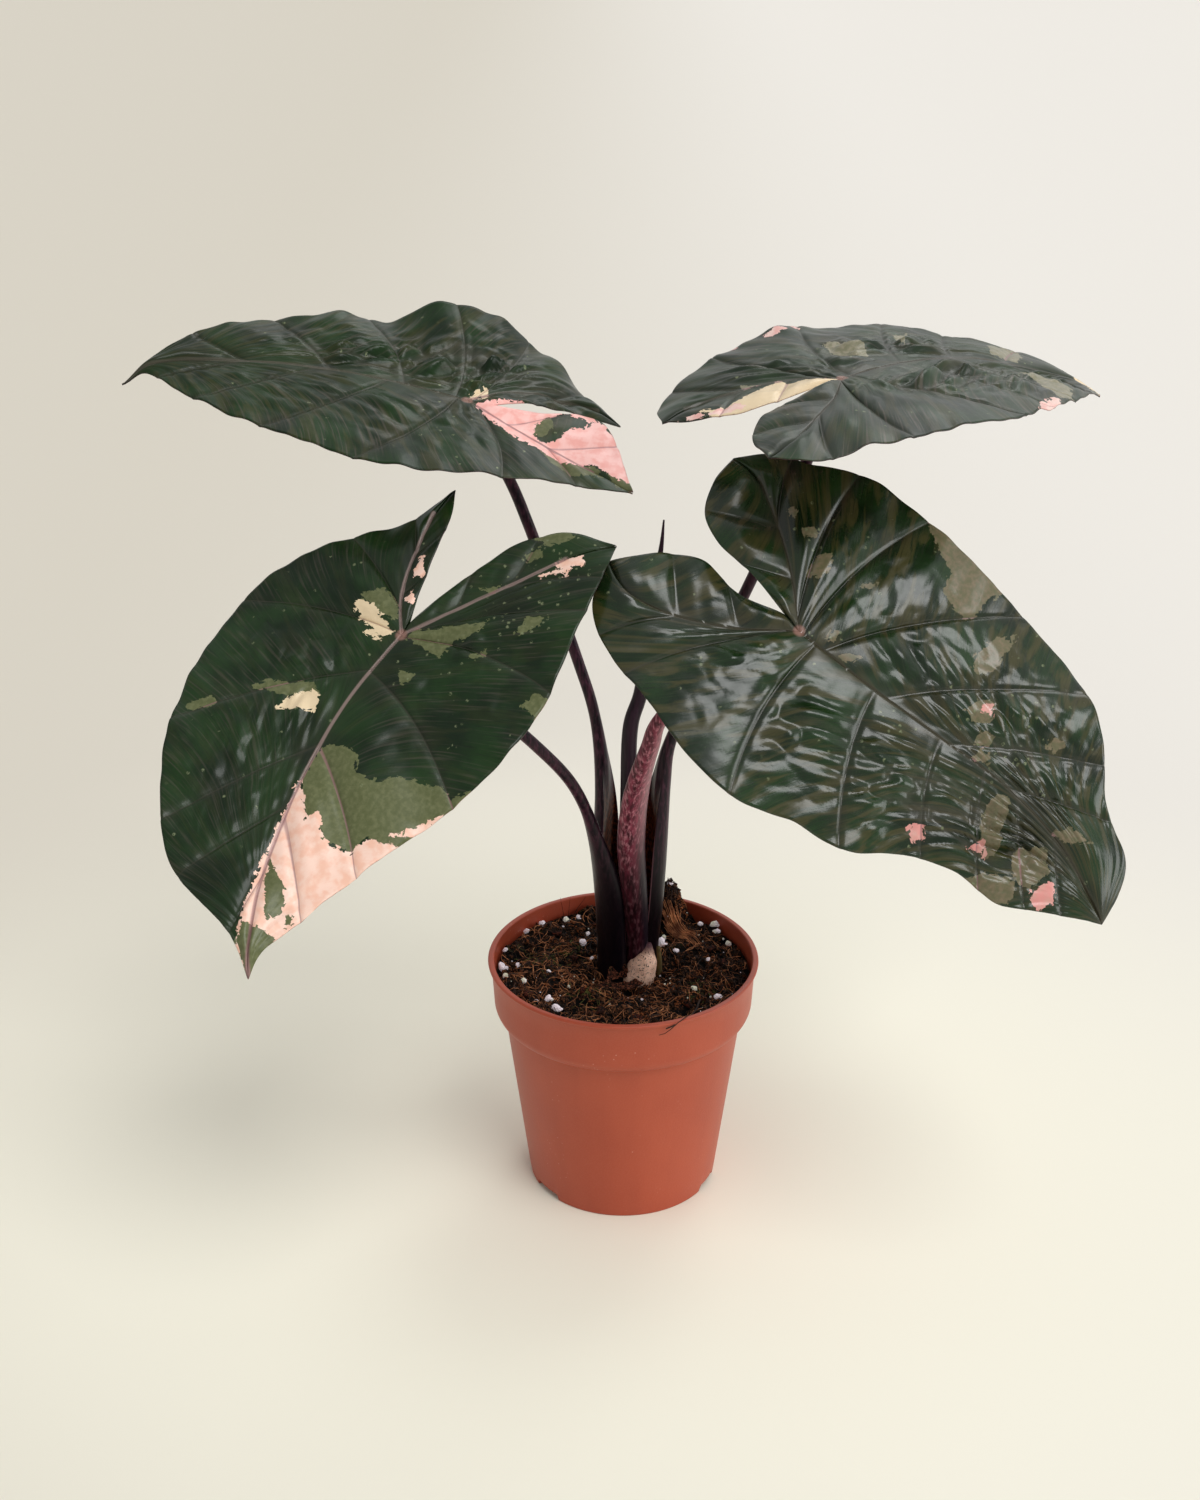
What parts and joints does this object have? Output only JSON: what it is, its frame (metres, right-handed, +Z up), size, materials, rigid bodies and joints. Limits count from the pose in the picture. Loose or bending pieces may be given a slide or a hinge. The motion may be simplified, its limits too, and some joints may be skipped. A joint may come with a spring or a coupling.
{
  "type": "potted alocasia plant",
  "caption": "Potted Yucatan Princess alocasia with dark, part pink heart-shaped leaves on dark petioles in a round plastic nursery pot.",
  "frame": {"origin": "centre of the pot's underside, on the surface that the pot stands on", "axes": "+Z up along the pot's axis, -Y towards the plant's front, +X to the right seen from the front"},
  "size_m": [0.4124, 0.2512, 0.3805],
  "materials": {
    "pot": "satin terracotta-coloured plastic",
    "soil": "rough peat and bark potting mix",
    "stem": "pale speckled living stem",
    "petiole": "smooth waxy dark purple skin",
    "spear": "smooth dark purple rolled leaf",
    "blade": "waxy dark green leaf with pink, sage and cream patches"
  },
  "bodies": {
    "root": {"pot": "pot", "soil": "soil", "stem_base": "stem", "spear": "spear", "petiole_a": "petiole", "petiole_b": "petiole", "petiole_c": "petiole", "petiole_d": "petiole", "blade_a": "blade", "blade_b": "blade", "blade_c": "blade", "blade_d": "blade"}
  },
  "joints": []
}
